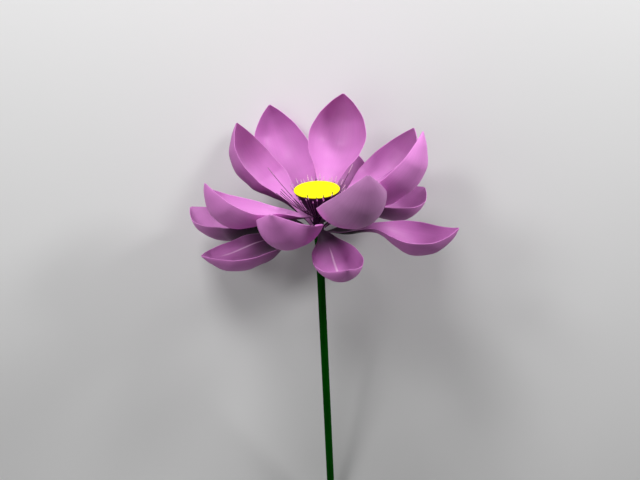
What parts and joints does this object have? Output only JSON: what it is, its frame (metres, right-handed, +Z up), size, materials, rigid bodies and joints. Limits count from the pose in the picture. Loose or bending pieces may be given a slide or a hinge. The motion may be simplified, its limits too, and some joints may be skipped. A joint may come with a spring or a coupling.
{
  "type": "lotus flower",
  "caption": "Cut lotus flower lying on its back petals: cupped pink-orchid petals around a flat yellow seed head with a ring of stamens, on a straight dark green stem.",
  "frame": {"origin": "middle of the bottom face of the bounding box, on the surface that the flower lies on", "axes": "+Z up, away from that surface; +Y along the lying stem, from its cut end towards the flower head; +X to the flower's right seen from above with the head at the top"},
  "size_m": [0.2158, 0.3864, 0.1868],
  "materials": {
    "petal": "satin orchid-pink petal, pale at the base and rims, fine lengthwise veins",
    "stem": "smooth dark green stalk, faintly grooved",
    "seed_head": "flat bright yellow seed head with a matt dark plum side",
    "stamen": "dark plum threads with whitish tips"
  },
  "bodies": {
    "root": {"stem": "stem", "receptacle": "seed_head", "inner_petal_back": "petal", "inner_petal_back_left": "petal", "inner_petal_left": "petal", "inner_petal_front_left": "petal", "inner_petal_front": "petal", "inner_petal_front_right": "petal", "inner_petal_right": "petal", "inner_petal_back_right": "petal", "outer_petal_left": "petal", "outer_petal_front_left": "petal", "outer_petal_front": "petal", "outer_petal_right": "petal", "outer_petal_back_right": "petal", "outer_petal_back": "petal", "outer_petal_back_left": "petal", "stamen_01": "stamen", "stamen_02": "stamen", "stamen_03": "stamen", "stamen_04": "stamen", "stamen_05": "stamen", "stamen_06": "stamen", "stamen_07": "stamen", "stamen_08": "stamen", "stamen_09": "stamen", "stamen_10": "stamen", "stamen_11": "stamen", "stamen_12": "stamen", "stamen_13": "stamen", "stamen_14": "stamen", "stamen_15": "stamen", "stamen_16": "stamen", "stamen_17": "stamen", "stamen_18": "stamen", "stamen_19": "stamen", "stamen_20": "stamen", "stamen_21": "stamen", "stamen_22": "stamen", "stamen_23": "stamen", "stamen_24": "stamen", "stamen_25": "stamen", "stamen_26": "stamen", "stamen_27": "stamen", "stamen_28": "stamen", "stamen_29": "stamen", "stamen_30": "stamen", "stamen_31": "stamen", "stamen_32": "stamen", "stamen_33": "stamen", "stamen_34": "stamen", "stamen_35": "stamen", "stamen_36": "stamen", "stamen_37": "stamen", "stamen_38": "stamen", "stamen_39": "stamen", "stamen_40": "stamen"}
  },
  "joints": []
}
